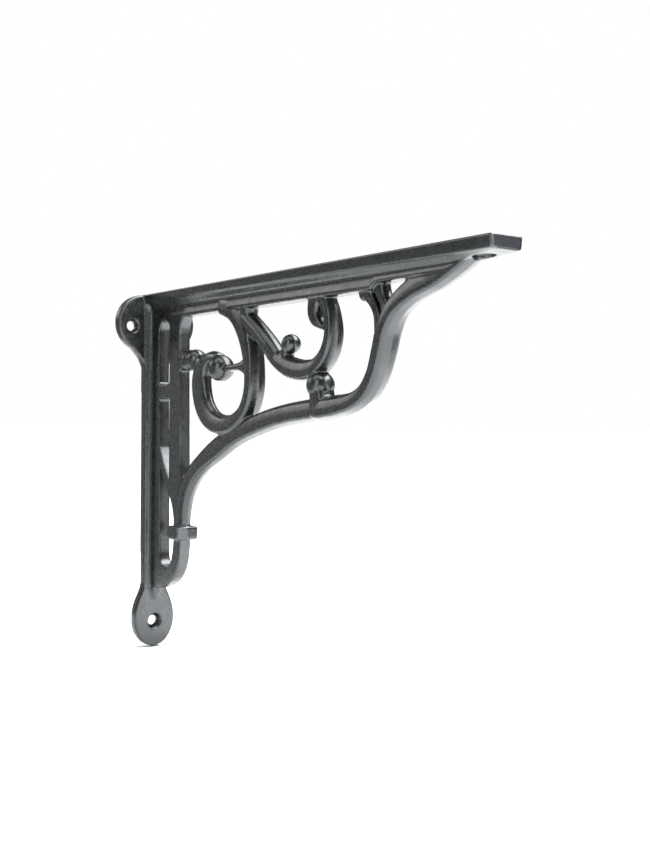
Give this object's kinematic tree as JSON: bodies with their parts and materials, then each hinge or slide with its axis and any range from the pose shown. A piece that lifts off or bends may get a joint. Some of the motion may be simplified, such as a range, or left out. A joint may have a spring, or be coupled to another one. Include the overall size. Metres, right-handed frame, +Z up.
{
  "type": "shelf bracket",
  "caption": "Cast-iron shelf bracket: ribbed shelf arm and wall leg joined by an arched strap and open scrollwork, with countersunk screw ears.",
  "frame": {"origin": "on the flat wall face, in the bracket's middle plane, midway between the two upper screw holes", "axes": "+X out from the wall along the shelf arm, +Y across the casting away from the side seen in the picture, +Z up"},
  "size_m": [0.254, 0.0428, 0.178],
  "materials": {
    "bracket": "satin black, rubbed to grey metal on the corners"
  },
  "bodies": {
    "root": {"bracket": "bracket"}
  },
  "joints": []
}
